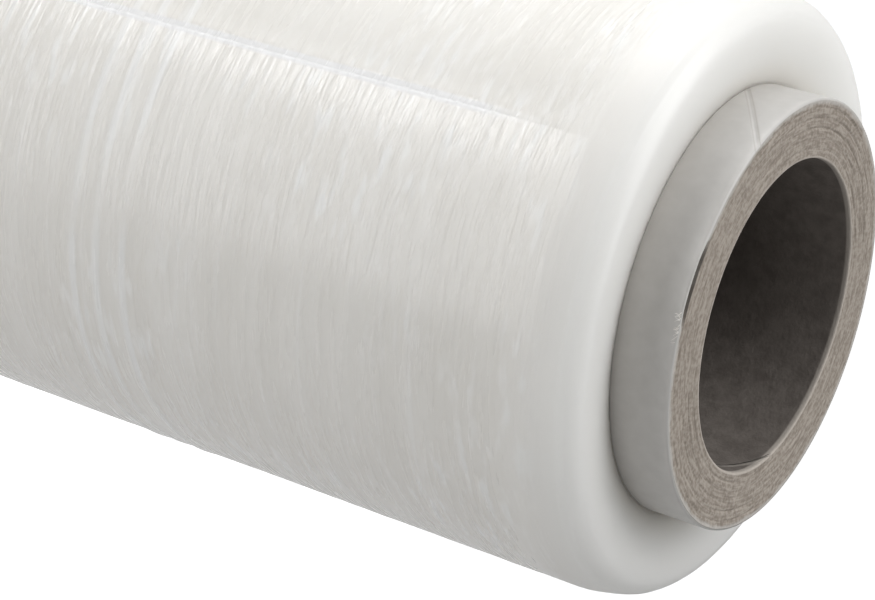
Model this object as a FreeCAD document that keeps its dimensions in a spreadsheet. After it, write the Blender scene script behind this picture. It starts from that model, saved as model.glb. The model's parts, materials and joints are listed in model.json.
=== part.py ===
# A roll of stretch wrap: clear stretch film wound on a spiral paperboard tube that
# stands out a little at both ends. The roll stands on one end of the tube. The frame's
# origin is the centre of that end, +Z runs up the roll's axis, and sizes are millimetres.
#
# Both pieces are long round shapes with a few things that are not round. The film is one
# spiral: its last turn ends in a step with a curled edge that runs the length of the roll.
# The tube's outermost and innermost plies each leave a butt seam, a right-handed helix
# that stands open near the sawn ends and is closed further in.

import FreeCAD, Part
import math
import os
import Sketcher

PARTS_FOLDER = "parts"

# The driving dimensions. Everything else is worked out from these by expressions.
DRIVING_DIMENSIONS = [
    # the paperboard tube
    ("bore_diameter", 50.8),  # the hole that a dispenser's spindle or handles go into
    ("tube_wall", 9.6),
    ("tube_projection", 8.0),  # how far the tube stands out past the film at each end
    ("rim_bevel", 0.5),  # the saw burr pressed flat round the rims
    ("ply_count", 6),  # plies whose edges can be told apart on the cut ends
    ("ply_gap_width", 0.3),  # the dark line between two of them
    ("ply_gap_depth", 0.35),
    ("seam_width", 0.5),
    ("seam_depth", 0.5),  # one thickness of paper
    ("seam_open_run", 36.0),  # how far in from each end the butt seams stand open
    ("outer_seam_pitch", 142.0),
    ("inner_seam_pitch", 56.0),
    ("outer_seam_angle", -131.0),  # where the outer seam meets the upper rim
    ("inner_seam_angle", 29.0),
    ("peel_inset", 1.0),  # from the tube's outside to the slit where plies have parted
    ("peel_width", 0.45),
    ("peel_depth", 2.0),
    ("peel_angle", -102.0),  # where the slit starts
    ("peel_sweep", 20.0),
    # the wound film
    ("film_width", 500.0),
    ("film_build", 15.2),  # all turns together, from the tube out
    ("turn_step", 0.16),  # the last turn stands this far above the turn under it
    ("tail_angle", -110.0),  # where the film's free end lies
    ("tail_curl", 0.35),  # radius of the curled cut edge
    ("face_dip", 2.0),  # the end faces sink this far towards the tube
    ("shoulder_across", 4.8),  # the soft outer edge of the winding, along the radius
    ("shoulder_along", 9.0),  # and along the roll
    ("shoulder_crown", 2.2),  # the sharper bend where that edge turns into the end face
    ("ridge_width", 1.2),  # raised lines round the roll, where thicker film was wound
    ("ridge_height", 0.12),
    ("ridge_start", 85.0),  # from the upper end of the film to the first ridge
    ("ridge_spacing", 5.2),
    ("ridge_count", 3),
]

# Sizes that follow from the driving ones, as expressions for the document.
BORE_R = "dims.bore_diameter / 2"
TUBE_R = "(dims.bore_diameter / 2 + dims.tube_wall)"
TUBE_LENGTH = "(dims.film_width + 2 * dims.tube_projection)"
FILM_R = f"({TUBE_R} + dims.film_build)"
WIDEST_R = f"({FILM_R} + dims.tail_curl / 2)"  # over the curled edge
CROWN_R = f"({WIDEST_R} - dims.shoulder_across)"  # where the end faces stand highest
SHOULDER_LOW = "(dims.film_width - dims.shoulder_along)"
DOME_R = f"(({CROWN_R} - {TUBE_R}) ^ 2 + dims.face_dip ^ 2) / (2 * dims.face_dip)"
QUARTER_STEP = "dims.turn_step / 4"
QUARTER_TURN = math.pi / 2
CUT_MARGIN = 2.0  # how far a cutting profile reaches past the solid that it trims

# How a constraint names a point of a sketch element, and the sketch's own origin.
POINT = {"start": 1, "end": 2, "centre": 3}
ELEMENT = {"origin": -1}


def make_dimension_sheet(doc):
    sheet = doc.addObject("Spreadsheet::Sheet", "dims")
    for row, (alias, value) in enumerate(DRIVING_DIMENSIONS, start=1):
        sheet.set(f"A{row}", alias)
        sheet.set(f"B{row}", str(value))
        sheet.setAlias(f"B{row}", alias)
    doc.recompute()


def value_of(body, expression):
    """The present value of an expression, as a plain number."""
    found = body.Document.dims.evalExpression(expression)
    return float(getattr(found, "Value", found))


def new_body(doc, name):
    body = doc.addObject("PartDesign::Body", name)
    body.Label = name
    return body


def origin_plane(body, role):
    return next(plane for plane in body.Origin.OriginFeatures if plane.Role == role)


def flat_sketch(body, name, height):
    """A sketch square to the roll's axis, at a height."""
    sketch = body.newObject("Sketcher::SketchObject", name)
    sketch.AttachmentSupport = [(origin_plane(body, "XY_Plane"), "")]
    sketch.MapMode = "FlatFace"
    sketch.setExpression("AttachmentOffset.Base.z", height)
    return sketch


def radial_sketch(body, name, bearing=None):
    """A sketch in a plane through the axis: x is the radius and y the height. The
    bearing turns that plane about the axis."""
    sketch = body.newObject("Sketcher::SketchObject", name)
    sketch.AttachmentSupport = [(origin_plane(body, "XZ_Plane"), "")]
    sketch.MapMode = "FlatFace"
    if bearing is not None:
        turn = FreeCAD.Rotation(FreeCAD.Vector(0, 1, 0), value_of(body, bearing))
        sketch.AttachmentOffset = FreeCAD.Placement(FreeCAD.Vector(), turn)
        sketch.setExpression("AttachmentOffset.Rotation.Angle", bearing)
    return sketch


def bind(body, sketch, kind, element, point, expression):
    """One driving constraint of a sketch, which follows an expression."""
    value = value_of(body, expression)
    if point is None:
        index = sketch.addConstraint(Sketcher.Constraint(kind, element, value))
    else:
        index = sketch.addConstraint(Sketcher.Constraint(kind, element, POINT[point], value))
    sketch.setExpression(f"Constraints[{index}]", expression)


def place_point(body, sketch, element, point, x, y):
    bind(body, sketch, "DistanceX", element, point, x)
    bind(body, sketch, "DistanceY", element, point, y)


def join(sketch, element, next_element):
    """The end of one element meets the start of the next."""
    ends = (element, POINT["end"], next_element, POINT["start"])
    sketch.addConstraint(Sketcher.Constraint("Coincident", *ends))


def level_with_centre(sketch, direction, arc, point):
    """A point of an arc lies straight across from, or straight above, its centre."""
    ends = (arc, POINT["centre"], arc, POINT[point])
    sketch.addConstraint(Sketcher.Constraint(direction, *ends))


def add_outline(body, sketch, corners):
    """A closed run of straight lines through corners, each a pair of expressions."""
    points = [FreeCAD.Vector(value_of(body, x), value_of(body, y), 0) for x, y in corners]
    lines = []
    for i, point in enumerate(points):
        following = points[(i + 1) % len(points)]
        lines.append(sketch.addGeometry(Part.LineSegment(point, following)))
    for i, line in enumerate(lines):
        join(sketch, line, lines[(i + 1) % len(lines)])
        place_point(body, sketch, line, "start", *corners[i])


def revolve(body, kind, name, sketch, angle=None):
    """A Revolution or a Groove of a radial sketch about the axis."""
    turned = body.newObject(f"PartDesign::{kind}", name)
    turned.Profile = sketch
    turned.ReferenceAxis = (sketch, ["V_Axis"])
    turned.Angle = 360
    if angle is not None:
        turned.setExpression("Angle", angle)
    return turned


def mirror_to_other_end(body, feature, middle):
    """The same cut at the other end of the roll, across a plane at the middle height."""
    plane = body.newObject("PartDesign::Plane", f"{body.Label}_middle")
    plane.AttachmentSupport = [(origin_plane(body, "XY_Plane"), "")]
    plane.MapMode = "FlatFace"
    plane.setExpression("AttachmentOffset.Base.z", middle)
    mirrored = body.newObject("PartDesign::Mirrored", f"{feature.Name}_both_ends")
    mirrored.Originals = [feature]
    mirrored.MirrorPlane = (plane, [""])
    body.Tip = mirrored


def make_tube_wall(body):
    sketch = radial_sketch(body, "tube_section")
    bore = BORE_R
    bore_bevel = f"{BORE_R} + dims.rim_bevel"
    outside_bevel = f"{TUBE_R} - dims.rim_bevel"
    top_bevel = f"{TUBE_LENGTH} - dims.rim_bevel"
    add_outline(body, sketch, [
        (bore_bevel, "0"),
        (outside_bevel, "0"),
        (TUBE_R, "dims.rim_bevel"),
        (TUBE_R, top_bevel),
        (outside_bevel, TUBE_LENGTH),
        (bore_bevel, TUBE_LENGTH),
        (bore, top_bevel),
        (bore, "dims.rim_bevel"),
    ])
    revolve(body, "Revolution", "tube_wall", sketch)


def cut_ply_gaps(body):
    """The rings on the cut ends: a shallow V between each ply and the next."""
    sketch = radial_sketch(body, "ply_gap_section")
    plies = int(value_of(body, "dims.ply_count"))
    over = f"{TUBE_LENGTH} + {CUT_MARGIN}"
    for ply in range(1, plies):
        middle = f"{BORE_R} + dims.tube_wall * {ply} / dims.ply_count"
        inner_edge = f"{middle} - dims.ply_gap_width / 2"
        outer_edge = f"{middle} + dims.ply_gap_width / 2"
        add_outline(body, sketch, [
            (inner_edge, over),
            (inner_edge, TUBE_LENGTH),
            (middle, f"{TUBE_LENGTH} - dims.ply_gap_depth"),
            (outer_edge, TUBE_LENGTH),
            (outer_edge, over),
        ])
    gaps = revolve(body, "Groove", "ply_gaps", sketch)
    mirror_to_other_end(body, gaps, f"{TUBE_LENGTH} / 2")


def cut_seam(body, name, surface, depth, pitch, rim_angle, start):
    """An open stretch of a butt seam, a V that climbs the wall from a starting height.
    The whole seam meets the upper rim at the stated angle, and the stretch lies on it.
    A negative depth cuts inwards from the surface."""
    bearing = f"{rim_angle} - 360 * ({TUBE_LENGTH} - ({start})) / {pitch}"
    sketch = radial_sketch(body, f"{name}_section", bearing)
    clear = f"{surface} - {depth}"
    low = f"{start} - dims.seam_width / 2"
    high = f"{start} + dims.seam_width / 2"
    add_outline(body, sketch, [
        (clear, low),
        (surface, low),
        (f"{surface} + {depth}", start),
        (surface, high),
        (clear, high),
    ])
    seam = body.newObject("PartDesign::SubtractiveHelix", name)
    seam.Profile = sketch
    seam.ReferenceAxis = (sketch, ["V_Axis"])
    seam.Mode = "pitch-height-angle"
    seam.setExpression("Pitch", pitch)
    seam.setExpression("Height", f"dims.seam_open_run + {CUT_MARGIN}")


def cut_seams(body):
    """The open stretches of the outer and the inner seam, at both ends of the tube."""
    lower = f"-{CUT_MARGIN}"
    upper = f"{TUBE_LENGTH} - dims.seam_open_run"
    for end, start in (("lower", lower), ("upper", upper)):
        cut_seam(body, f"outer_seam_{end}", TUBE_R, "(-dims.seam_depth)",
                 "dims.outer_seam_pitch", "dims.outer_seam_angle", start)
        cut_seam(body, f"inner_seam_{end}", BORE_R, "dims.seam_depth",
                 "dims.inner_seam_pitch", "dims.inner_seam_angle", start)


def cut_peel(body):
    """The slit at the upper rim where the outer plies have come away from the next."""
    outer = f"{TUBE_R} - dims.peel_inset"
    inner = f"{outer} - dims.peel_width"
    floor = f"{TUBE_LENGTH} - dims.peel_depth"
    over = f"{TUBE_LENGTH} + {CUT_MARGIN}"
    sketch = radial_sketch(body, "peel_section", "dims.peel_angle")
    add_outline(body, sketch, [(inner, floor), (outer, floor), (outer, over), (inner, over)])
    revolve(body, "Groove", "peel", sketch, "dims.peel_sweep")


def make_paperboard_core(doc):
    """The tube: a spiral-wound wall, sawn square, with open plies at its cut ends."""
    body = new_body(doc, "paperboard_core")
    make_tube_wall(body)
    cut_seams(body)
    cut_peel(body)
    cut_ply_gaps(body)
    return body


def add_spiral(body, sketch):
    """The outline of the last turn, as a four-centre spiral. Each quarter turn's centre
    is a corner of a small square, and its radius is a quarter of the step less than the
    one before. The step itself closes the outline, on the side that faces +x."""
    quarter = value_of(body, QUARTER_STEP)
    radius = value_of(body, f"{FILM_R} - {QUARTER_STEP} / 2")
    half = f"{QUARTER_STEP} / 2"
    corners = [(half, f"-{half}"), (half, half), (f"-{half}", half), (f"-{half}", f"-{half}")]
    arcs = []
    for i, (x, y) in enumerate(corners):
        centre = FreeCAD.Vector(value_of(body, x), value_of(body, y), 0)
        circle = Part.Circle(centre, FreeCAD.Vector(0, 0, 1), radius - i * quarter)
        start = i * QUARTER_TURN
        arcs.append(sketch.addGeometry(Part.ArcOfCircle(circle, start, start + QUARTER_TURN)))
        place_point(body, sketch, arcs[i], "centre", x, y)
    first = sketch.Geometry[arcs[0]].StartPoint
    last = sketch.Geometry[arcs[-1]].EndPoint
    step = sketch.addGeometry(Part.LineSegment(last, first))
    ring = arcs + [step]
    for i, element in enumerate(ring):
        join(sketch, element, ring[(i + 1) % len(ring)])
    bind(body, sketch, "Radius", arcs[0], None, f"{FILM_R} - {half}")
    level_with_centre(sketch, "Horizontal", arcs[0], "start")
    for arc, direction in zip(arcs, ("Vertical", "Horizontal", "Vertical", "Horizontal")):
        level_with_centre(sketch, direction, arc, "end")


def add_circle(body, sketch, x, y, radius):
    centre = FreeCAD.Vector(value_of(body, x), value_of(body, y), 0)
    up = FreeCAD.Vector(0, 0, 1)
    circle = sketch.addGeometry(Part.Circle(centre, up, value_of(body, radius)))
    place_point(body, sketch, circle, "centre", x, y)
    bind(body, sketch, "Radius", circle, None, radius)


def pad_along_roll(body, name, sketch):
    """The wound length, and a little more at both ends, which the faces then trim."""
    pad = body.newObject("PartDesign::Pad", name)
    pad.Profile = sketch
    pad.setExpression("Length", f"dims.film_width + 2 * {CUT_MARGIN}")


def make_turns(body):
    """All turns of the film as one solid, and the curled edge of its free end."""
    turns = flat_sketch(body, "turns_outline", f"-{CUT_MARGIN}")
    turns.setExpression("AttachmentOffset.Rotation.Angle", "dims.tail_angle")
    add_spiral(body, turns)
    centre = FreeCAD.Vector()
    up = FreeCAD.Vector(0, 0, 1)
    bore = turns.addGeometry(Part.Circle(centre, up, value_of(body, TUBE_R)))
    on_axis = (bore, POINT["centre"], ELEMENT["origin"], POINT["start"])
    turns.addConstraint(Sketcher.Constraint("Coincident", *on_axis))
    bind(body, turns, "Radius", bore, None, TUBE_R)
    pad_along_roll(body, "turns", turns)
    tail = flat_sketch(body, "tail_outline", f"-{CUT_MARGIN}")
    tail.setExpression("AttachmentOffset.Rotation.Angle", "dims.tail_angle")
    add_circle(body, tail, f"{FILM_R} - dims.tail_curl / 2", QUARTER_STEP, "dims.tail_curl")
    pad_along_roll(body, "tail", tail)


def add_ridges(body):
    """Raised lines round the roll, set out upwards from the lowest one."""
    lowest = "dims.film_width - dims.ridge_start - dims.ridge_spacing * (dims.ridge_count - 1)"
    foot = f"{FILM_R} - dims.turn_step"
    root = f"{foot} - dims.turn_step"
    crest = f"{FILM_R} + dims.ridge_height"
    sketch = radial_sketch(body, "ridge_section")
    add_outline(body, sketch, [
        (root, f"{lowest} - dims.ridge_width / 2"),
        (foot, f"{lowest} - dims.ridge_width / 2"),
        (crest, lowest),
        (foot, f"{lowest} + dims.ridge_width / 2"),
        (root, f"{lowest} + dims.ridge_width / 2"),
    ])
    ridge = revolve(body, "Revolution", "ridge", sketch)
    pattern = body.newObject("PartDesign::LinearPattern", "ridges")
    pattern.Originals = [ridge]
    pattern.Direction = (sketch, ["V_Axis"])
    pattern.setExpression("Length", "dims.ridge_spacing * (dims.ridge_count - 1)")
    pattern.setExpression("Occurrences", "dims.ridge_count")
    body.Tip = pattern


def arc_between(circle, first, last):
    """The arc of a circle that runs counter-clockwise from one point to another."""
    return Part.ArcOfCircle(circle, circle.parameter(first), circle.parameter(last))


def add_face_arcs(body, sketch):
    """The three arcs of an end face, from the outside in. A large and a small arc, tangent
    to each other, make the soft shoulder. A shallow dome sinks from its crown to the tube."""
    inside = f"{TUBE_R} - {CUT_MARGIN}"
    top = value_of(body, "dims.film_width")
    low = value_of(body, SHOULDER_LOW)
    widest = value_of(body, WIDEST_R)
    crown_x = value_of(body, CROWN_R)
    inside_x = value_of(body, inside)
    dome = value_of(body, DOME_R)
    small = value_of(body, "dims.shoulder_crown")
    across = widest - crown_x
    along = top - low
    large = (across ** 2 - small ** 2 + (along - small) ** 2) / (2 * (across - small))
    foot_y = top - dome + (dome ** 2 - (crown_x - inside_x) ** 2) ** 0.5

    up = FreeCAD.Vector(0, 0, 1)
    large_centre = FreeCAD.Vector(widest - large, low, 0)
    small_centre = FreeCAD.Vector(crown_x, top - small, 0)
    dome_centre = FreeCAD.Vector(crown_x, top - dome, 0)
    large_circle = Part.Circle(large_centre, up, large)
    small_circle = Part.Circle(small_centre, up, small)
    dome_circle = Part.Circle(dome_centre, up, dome)
    shoulder_end = FreeCAD.Vector(widest, low, 0)
    meeting = large_centre + (small_centre - large_centre).normalize() * large
    crown = FreeCAD.Vector(crown_x, top, 0)
    dome_foot = FreeCAD.Vector(inside_x, foot_y, 0)
    large_arc = sketch.addGeometry(arc_between(large_circle, shoulder_end, meeting))
    small_arc = sketch.addGeometry(arc_between(small_circle, meeting, crown))
    dome_arc = sketch.addGeometry(arc_between(dome_circle, crown, dome_foot))

    tangent_ends = (large_arc, POINT["end"], small_arc, POINT["start"])
    sketch.addConstraint(Sketcher.Constraint("Tangent", *tangent_ends))
    join(sketch, small_arc, dome_arc)
    place_point(body, sketch, large_arc, "start", WIDEST_R, SHOULDER_LOW)
    place_point(body, sketch, dome_arc, "start", CROWN_R, "dims.film_width")
    bind(body, sketch, "DistanceX", dome_arc, "end", inside)
    bind(body, sketch, "Radius", small_arc, None, "dims.shoulder_crown")
    bind(body, sketch, "Radius", dome_arc, None, DOME_R)
    level_with_centre(sketch, "Horizontal", large_arc, "start")
    level_with_centre(sketch, "Vertical", small_arc, "end")
    level_with_centre(sketch, "Vertical", dome_arc, "start")
    return large_arc, dome_arc


def trim_ends(body):
    """All that lies past the end faces is cut away. The section runs in along a face, up
    past the end of the turns, out over them and back down to the shoulder."""
    sketch = radial_sketch(body, "face_section")
    first_arc, last_arc = add_face_arcs(body, sketch)
    over = f"dims.film_width + 2 * {CUT_MARGIN}"
    outside = f"{WIDEST_R} + {CUT_MARGIN}"
    corners = [(f"{TUBE_R} - {CUT_MARGIN}", over), (outside, over), (outside, SHOULDER_LOW)]
    path = [sketch.Geometry[last_arc].EndPoint]
    for x, y in corners:
        path.append(FreeCAD.Vector(value_of(body, x), value_of(body, y), 0))
    path.append(sketch.Geometry[first_arc].StartPoint)
    lines = [sketch.addGeometry(Part.LineSegment(*pair)) for pair in zip(path, path[1:])]
    ring = [last_arc, *lines, first_arc]
    for element, next_element in zip(ring, ring[1:]):
        join(sketch, element, next_element)
    for line, corner in zip(lines[1:], corners):
        place_point(body, sketch, line, "start", *corner)
    face = revolve(body, "Groove", "face", sketch)
    mirror_to_other_end(body, face, "dims.film_width / 2")


def make_film_roll(doc):
    """The film: in its own frame its lower end is at height zero, and its place on the
    tube lifts it clear of the tube's lower end."""
    body = new_body(doc, "film_roll")
    make_turns(body)
    add_ridges(body)
    trim_ends(body)
    body.setExpression("Placement.Base.z", "dims.tube_projection")
    return body


def check_objects(doc, bodies):
    for item in doc.Objects:
        if "Invalid" in item.State or "Error" in item.State:
            raise RuntimeError(f"{item.Label} failed: {item.State}")
        if item.TypeId == "Sketcher::SketchObject" and not item.FullyConstrained:
            raise RuntimeError(f"{item.Label} is not fully constrained")
    for body in bodies:
        if body.Shape.isNull() or not body.Shape.isValid():
            raise RuntimeError(f"{body.Label} has no valid shape")


def main():
    doc = FreeCAD.newDocument("stretch_wrap_roll")
    make_dimension_sheet(doc)
    bodies = [make_paperboard_core(doc), make_film_roll(doc)]
    doc.recompute()
    check_objects(doc, bodies)
    os.makedirs(PARTS_FOLDER, exist_ok=True)
    for body in bodies:
        path = os.path.join(PARTS_FOLDER, f"{body.Label}.step")
        body.Shape.exportStep(path)
        box = body.Shape.optimalBoundingBox(False)
        print(f"{body.Label}: {box.XLength:.2f} x {box.YLength:.2f} x {box.ZLength:.2f} mm, "
              f"{len(body.Shape.Solids)} solid, {body.Shape.Volume / 1000:.1f} cm3")


main()
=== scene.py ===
# %% [markdown]
# # A roll of stretch wrap, seen close to one end
# The real roll is clear film wound tight on a grey paperboard tube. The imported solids
# fix where everything is. This script gives the two pieces the shapes and finishes that
# show from a step away: the soft shoulder and fine windings of the film, its curled
# free end, and the sawn, fibrous end of the tube.

# %% Load the fixed frame
import json
import math

import bmesh
import bpy
from mathutils import Euler, Matrix, Vector, noise


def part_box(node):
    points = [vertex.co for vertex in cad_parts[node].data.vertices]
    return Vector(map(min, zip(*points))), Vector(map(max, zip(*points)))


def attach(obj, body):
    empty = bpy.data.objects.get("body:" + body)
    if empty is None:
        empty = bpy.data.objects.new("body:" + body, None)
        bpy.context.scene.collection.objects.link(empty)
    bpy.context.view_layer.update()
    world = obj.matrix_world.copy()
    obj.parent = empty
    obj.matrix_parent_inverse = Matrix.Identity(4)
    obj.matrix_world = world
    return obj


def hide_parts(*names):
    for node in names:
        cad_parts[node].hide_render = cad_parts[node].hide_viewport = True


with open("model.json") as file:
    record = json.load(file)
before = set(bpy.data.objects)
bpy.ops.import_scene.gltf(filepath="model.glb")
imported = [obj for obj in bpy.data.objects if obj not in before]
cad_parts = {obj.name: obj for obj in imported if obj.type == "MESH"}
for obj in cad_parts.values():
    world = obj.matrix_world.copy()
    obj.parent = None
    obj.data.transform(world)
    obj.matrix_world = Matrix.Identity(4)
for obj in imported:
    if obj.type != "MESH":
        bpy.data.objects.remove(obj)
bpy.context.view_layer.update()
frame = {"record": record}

tube_low, tube_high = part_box("paperboard_core")
film_low, film_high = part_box("film_roll")
ROLL_LENGTH = tube_high.z
TUBE_R = tube_high.x
BORE_R = frame["record"]["mounts"][0]["dims"]["r_mm"] / 1000
FILM_R = 0.0502
MM = 0.001
print("tube", tube_low, tube_high, "film", film_low, film_high)

# %% [markdown]
# ## The camera
# The photograph looks at the roll from a little above the tube's end, with a long lens,
# and the camera is rolled over so that the standing roll lies across the picture. It is
# placed from the upper rim's centre: how far back, how far up, where it points and its
# roll. Naming these few sizes is clearer than typing a matrix.

# %% Place the camera
CAMERA_BACK = 0.39213
CAMERA_UP = 0.16049
CAMERA_HEADING = math.radians(88.034)
CAMERA_TILT = math.radians(-29.274)
CAMERA_ROLL = math.radians(107.451)
LENS_MM = 110.74


def add_camera():
    lens = bpy.data.cameras.new("camera")
    lens.lens = LENS_MM
    lens.clip_start = 0.01
    camera = bpy.data.objects.new("camera", lens)
    bpy.context.scene.collection.objects.link(camera)
    level = Euler((math.pi / 2 + CAMERA_TILT, 0, CAMERA_HEADING - math.pi / 2))
    rolled = level.to_matrix() @ Matrix.Rotation(CAMERA_ROLL, 3, "Z")
    place = Vector((0, -CAMERA_BACK, ROLL_LENGTH + CAMERA_UP))
    camera.matrix_world = Matrix.Translation(place) @ rolled.to_4x4()
    bpy.context.scene.camera = camera
    return camera


camera = add_camera()
print("camera at", camera.location)

# %% [markdown]
# ## Small helpers for node materials
# Every finish here is a node tree. A few short helpers keep the trees readable. They
# make a node and set its inputs, link a sum, build and place a group with named sockets,
# start a material, mix two colours, turn a value into a smooth mask, and add a bump.

# %% Node helpers


def new_node(tree, kind, label=None, **inputs):
    node = tree.nodes.new(kind)
    if label:
        node.label = label
    for name, value in inputs.items():
        node.inputs[name.replace("_", " ")].default_value = value
    return node


def math_node(tree, operation, first, second=None, third=None):
    node = tree.nodes.new("ShaderNodeMath")
    node.operation = operation
    for index, value in enumerate((first, second, third)):
        if value is None:
            continue
        if isinstance(value, (int, float)):
            node.inputs[index].default_value = value
        else:
            tree.links.new(value, node.inputs[index])
    return node.outputs[0]


def new_group(name, inputs, outputs):
    group = bpy.data.node_groups.new(name, "ShaderNodeTree")
    for socket_name, kind, value in inputs:
        socket = group.interface.new_socket(socket_name, in_out="INPUT", socket_type=kind)
        socket.default_value = value
    for socket_name, kind in outputs:
        group.interface.new_socket(socket_name, in_out="OUTPUT", socket_type=kind)
    entry = group.nodes.new("NodeGroupInput")
    leave = group.nodes.new("NodeGroupOutput")
    return group, entry, leave


def use_group(tree, group, **values):
    node = tree.nodes.new("ShaderNodeGroup")
    node.node_tree = group
    for name, value in values.items():
        node.inputs[name.replace("_", " ")].default_value = value
    return node


def new_material(name):
    material = bpy.data.materials.new(name)
    material.use_nodes = True
    tree = material.node_tree
    tree.nodes.clear()
    shader = tree.nodes.new("ShaderNodeBsdfPrincipled")
    output = tree.nodes.new("ShaderNodeOutputMaterial")
    tree.links.new(shader.outputs["BSDF"], output.inputs["Surface"])
    return material, tree, shader


def mix_colour(tree, factor, first, second):
    node = tree.nodes.new("ShaderNodeMix")
    node.data_type = "RGBA"
    for index, value in ((0, factor), (6, first), (7, second)):
        if isinstance(value, (int, float, tuple)):
            node.inputs[index].default_value = value
        else:
            tree.links.new(value, node.inputs[index])
    return node.outputs[2]


def ramp(tree, value, low, high):
    """0 at low, 1 at high, smooth between."""
    node = tree.nodes.new("ShaderNodeMapRange")
    node.interpolation_type = "SMOOTHSTEP"
    node.inputs["From Min"].default_value = low
    node.inputs["From Max"].default_value = high
    tree.links.new(value, node.inputs["Value"])
    return node.outputs["Result"]


def bump(tree, height, distance, strength, normal=None):
    node = tree.nodes.new("ShaderNodeBump")
    node.inputs["Distance"].default_value = distance
    node.inputs["Strength"].default_value = strength
    tree.links.new(height, node.inputs["Height"])
    if normal is not None:
        tree.links.new(normal, node.inputs["Normal"])
    return node.outputs["Normal"]


# %% [markdown]
# ## Streaks that run round the roll
# Film that is stretched as it is wound shows fine streaks round the roll: thin ridges
# and short bright dashes. A noise that is squashed along the axis gives them. Its
# coordinates are the object's own, so the streaks join up all the way round.

# %% The streak group


def streak_group():
    group, entry, leave = new_group(
        "wound_streaks",
        [("Length", "NodeSocketFloat", 0.03), ("Width", "NodeSocketFloat", 0.0006),
         ("Detail", "NodeSocketFloat", 2.0), ("Seed", "NodeSocketFloat", 0.0)],
        [("Streaks", "NodeSocketFloat")])
    where = group.nodes.new("ShaderNodeTexCoord")
    axes = group.nodes.new("ShaderNodeSeparateXYZ")
    group.links.new(where.outputs["Object"], axes.inputs[0])
    squashed = group.nodes.new("ShaderNodeCombineXYZ")
    for index, size in ((0, "Length"), (1, "Length"), (2, "Width")):
        scaled = math_node(group, "DIVIDE", axes.outputs[index], entry.outputs[size])
        group.links.new(scaled, squashed.inputs[index])
    moved = group.nodes.new("ShaderNodeVectorMath")
    moved.operation = "ADD"
    group.links.new(squashed.outputs[0], moved.inputs[0])
    group.links.new(entry.outputs["Seed"], moved.inputs[1])
    pattern = group.nodes.new("ShaderNodeTexNoise")
    pattern.inputs["Scale"].default_value = 1.0
    group.links.new(moved.outputs[0], pattern.inputs["Vector"])
    group.links.new(entry.outputs["Detail"], pattern.inputs["Detail"])
    group.links.new(pattern.outputs["Fac"], leave.inputs["Streaks"])
    return group


STREAKS = streak_group()
print("streak group has", len(STREAKS.nodes), "nodes")

# %% [markdown]
# ## Lines that climb the roll
# The free end of the film is a straight line along the roll, and the tube's seams are
# screws. One group draws both: it compares a point's bearing with that of a line which
# turns at a steady rate as it climbs, and gives 1 on the line. A second group gives 1 on
# a band at one height, and is for the ridges round the roll.

# %% The line and band groups
RIDGE_WANDER = 1.8 * MM


def axis_parts(tree):
    """The object's own coordinates, their parts, and the distance from the axis."""
    where = tree.nodes.new("ShaderNodeTexCoord").outputs["Object"]
    axes = tree.nodes.new("ShaderNodeSeparateXYZ")
    tree.links.new(where, axes.inputs[0])
    flat = tree.nodes.new("ShaderNodeCombineXYZ")
    tree.links.new(axes.outputs[0], flat.inputs[0])
    tree.links.new(axes.outputs[1], flat.inputs[1])
    length = tree.nodes.new("ShaderNodeVectorMath")
    length.operation = "LENGTH"
    tree.links.new(flat.outputs[0], length.inputs[0])
    return where, axes, length.outputs["Value"]


def fade_out(tree, distance, half_width):
    """1 near the line, and 0 past its half width."""
    share = math_node(tree, "DIVIDE", distance, half_width)
    return math_node(tree, "SUBTRACT", 1.0, ramp(tree, share, 0.4, 1.0))


def screw_line_group():
    group, entry, leave = new_group(
        "screw_line",
        [("Bearing", "NodeSocketFloat", 0.0), ("Turn Rate", "NodeSocketFloat", 0.0),
         ("Half Width", "NodeSocketFloat", 0.0005)],
        [("Line", "NodeSocketFloat")])
    _, axes, radius = axis_parts(group)
    bearing = math_node(group, "ARCTAN2", axes.outputs[1], axes.outputs[0])
    below_rim = math_node(group, "SUBTRACT", axes.outputs[2], ROLL_LENGTH)
    line = math_node(group, "MULTIPLY_ADD", below_rim, entry.outputs["Turn Rate"],
                     entry.outputs["Bearing"])
    apart = math_node(group, "SUBTRACT", bearing, line)
    apart = math_node(group, "WRAP", apart, math.pi, -math.pi)
    distance = math_node(group, "MULTIPLY", math_node(group, "ABSOLUTE", apart), radius)
    group.links.new(fade_out(group, distance, entry.outputs["Half Width"]),
                    leave.inputs["Line"])
    return group


def ridge_band_group():
    group, entry, leave = new_group(
        "ridge_band",
        [("Below Rim", "NodeSocketFloat", 0.09), ("Half Width", "NodeSocketFloat", 0.001)],
        [("Band", "NodeSocketFloat")])
    where, axes, _ = axis_parts(group)
    wander = new_node(group, "ShaderNodeTexNoise", "wander", Scale=18.0, Detail=1.0)
    group.links.new(where, wander.inputs["Vector"])
    height = math_node(group, "SUBTRACT", ROLL_LENGTH, axes.outputs[2])
    away = math_node(group, "SUBTRACT", height, entry.outputs["Below Rim"])
    away = math_node(group, "MULTIPLY_ADD", wander.outputs["Fac"], -RIDGE_WANDER, away)
    away = math_node(group, "ADD", away, RIDGE_WANDER / 2)
    group.links.new(fade_out(group, math_node(group, "ABSOLUTE", away),
                             entry.outputs["Half Width"]), leave.inputs["Band"])
    return group


SCREW_LINE = screw_line_group()
RIDGE_BAND = ridge_band_group()
print("line group has", len(SCREW_LINE.nodes), "nodes, band group",
      len(RIDGE_BAND.nodes))
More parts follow.
